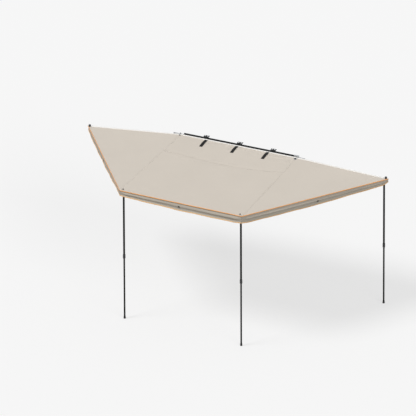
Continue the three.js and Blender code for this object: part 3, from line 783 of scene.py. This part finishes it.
def make_kink_fittings():
    for label, kink, shift, radius, look in KINK_FITTINGS:
        place = kink + shift
        top = WASHER_PROFILE[0][1]
        turned_piece(f"kink_washer_{label}", place, radius, WASHER_PROFILE, look)
        turned_piece(f"kink_stud_{label}", place + UP * top, radius, STUD_PROFILE, "moulding")


# Straps of webbing, laid on the canvas from the base outwards
STRAP_WIDE = 0.050
STRAP_START = -0.046
STRAP_LONG = 0.262
STRAP_THICK = 0.0022
STRAP_GRID = (48, 8)
STRAP_PITCH = 0.543
STRAP_SHIFT = -0.020
STRAP_SKEW = 0.010                     # how far the free end lies to the rear
STRAP_CLEAR = 0.0030                   # over the canvas
STRAP_ARCH, STRAP_CURL = 0.004, 0.0012
STRAP_ROWS = ((1, 0.93), (2, 0.98))    # rows of stitches, at shares of the length
STRAP_MARGIN = 0.08                    # share of the width beside them
STRAP_THREAD_OUT = 0.0003


def strap_shape(middle):
    """The surface of the strap that starts at the place middle along the base."""
    def point(u, v):
        x = middle + STRAP_SKEW * u * u
        y = STRAP_START - u * STRAP_LONG
        reach = max(0.0, (KINK_FRONT.y - y) / CANVAS_REACH)
        arch = STRAP_ARCH * math.sin(math.pi * u) ** 2
        curl = STRAP_CURL * (2 * v - 1) ** 2
        cloth = middle_point(reach, (x - KINK_FRONT.x) / (KINK_REAR.x - KINK_FRONT.x)).z
        turn = math.atan(2 * STRAP_SKEW * u / STRAP_LONG)
        side = (v - 0.5) * STRAP_WIDE
        return Vector((x + side * math.cos(turn), y + side * math.sin(turn), cloth + STRAP_CLEAR + arch + curl))
    return point


def make_straps():
    for step in (-1, 0, 1):
        name = f"strap_{step + 2}"
        point = strap_shape(STRAP_SHIFT + step * STRAP_PITCH)
        strap = grid_piece(f"{name}_webbing", *STRAP_GRID, point, "webbing", thick=STRAP_THICK)
        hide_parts(name)
        rows = []
        for i, u in STRAP_ROWS:
            def line(t, u=u):
                return point(u, STRAP_MARGIN + (1 - 2 * STRAP_MARGIN) * t) + UP * STRAP_THREAD_OUT
            rows.append(stitch_row(f"{name}_stitches_{i}", line, UP, "black_thread"))
        for part in [strap] + rows:
            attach(part, "base")
            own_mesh(part)


FLOOR_LEVEL = -2.258
FLOOR_SIZE = 60.0
FLOOR_ROUGHNESS = 0.95
WHITE = (1.0, 1.0, 1.0, 1.0)
FLOOR_SEEN = (0.30, 0.30, 0.30, 1.0)       # as the background rays see it, under its glow
FLOOR_GLOW = 0.605
FLOOR_PLAIN = (0.36, 0.36, 0.36)           # as the light on the awning meets it


def make_stage():
    """A pale floor: the background rays see it lit from within, and all other rays see it plain."""
    mesh = bpy.data.meshes.new("floor")
    corners = [(x * FLOOR_SIZE, y * FLOOR_SIZE, FLOOR_LEVEL) for x, y in ((-1, -1), (1, -1), (1, 1), (-1, 1))]
    mesh.from_pydata(corners, [], [(0, 1, 2, 3)])
    floor = bpy.data.objects.new("floor", mesh)
    bpy.context.collection.objects.link(floor)
    material, nodes, links, plain = new_material("floor_pale", FLOOR_PLAIN, FLOOR_ROUGHNESS)
    plain.inputs["Specular IOR Level"].default_value = 0.0
    seen = nodes.new("ShaderNodeBsdfDiffuse")
    seen.inputs["Color"].default_value = FLOOR_SEEN
    glow = nodes.new("ShaderNodeEmission")
    glow.inputs["Color"].default_value = WHITE
    glow.inputs["Strength"].default_value = FLOOR_GLOW
    both = nodes.new("ShaderNodeAddShader")
    links.new(seen.outputs["BSDF"], both.inputs[0])
    links.new(glow.outputs["Emission"], both.inputs[1])
    mix = nodes.new("ShaderNodeMixShader")
    links.new(background_ray(nodes, links), mix.inputs["Fac"])
    links.new(plain.outputs["BSDF"], mix.inputs[1])
    links.new(both.outputs["Shader"], mix.inputs[2])
    # Seen from below, the floor is clear
    below = nodes.new("ShaderNodeMixShader")
    clear = nodes.new("ShaderNodeBsdfTransparent")
    side = nodes.new("ShaderNodeNewGeometry")
    links.new(side.outputs["Backfacing"], below.inputs["Fac"])
    links.new(mix.outputs["Shader"], below.inputs[1])
    links.new(clear.outputs["BSDF"], below.inputs[2])
    links.new(below.outputs["Shader"], nodes["Material Output"].inputs["Surface"])
    mesh.materials.append(material)


# Suns: name, direction they shine from, strength and angular size in degrees
SUNS = (
    ("key", (-0.50, -0.46, 0.95), 1.85, 20.0),
    ("fill", (0.80, -0.55, 0.60), 1.08, 30.0),
)
SUN_AWAY = 10
WORLD_STRENGTH = 0.405
WORLD_SEEN = (0.92, 0.92, 0.92, 1.0)       # as the background rays see it


def make_lights():
    world = bpy.data.worlds.new("studio")
    bpy.context.scene.world = world
    world.use_nodes = True
    nodes, links = world.node_tree.nodes, world.node_tree.links
    background = nodes["Background"]
    background.inputs["Color"].default_value = WHITE
    background.inputs["Strength"].default_value = WORLD_STRENGTH
    seen = nodes.new("ShaderNodeBackground")
    seen.inputs["Color"].default_value = WORLD_SEEN
    mix = nodes.new("ShaderNodeMixShader")
    links.new(background_ray(nodes, links), mix.inputs["Fac"])
    links.new(background.outputs["Background"], mix.inputs[1])
    links.new(seen.outputs["Background"], mix.inputs[2])
    links.new(mix.outputs["Shader"], nodes["World Output"].inputs["Surface"])
    for name, toward, strength, angle in SUNS:
        data = bpy.data.lights.new(name, "SUN")
        data.energy = strength
        data.angle = math.radians(angle)
        lamp = bpy.data.objects.new(name, data)
        lamp.location = Vector(toward) * SUN_AWAY
        lamp.rotation_euler = Vector(toward).to_track_quat("Z", "Y").to_euler()
        bpy.context.collection.objects.link(lamp)


make_camera()
dress_frame()
make_canvas()
make_valances()
make_kink_fittings()
make_straps()
make_stage()
make_lights()
bpy.context.scene.view_settings.view_transform = "Standard"
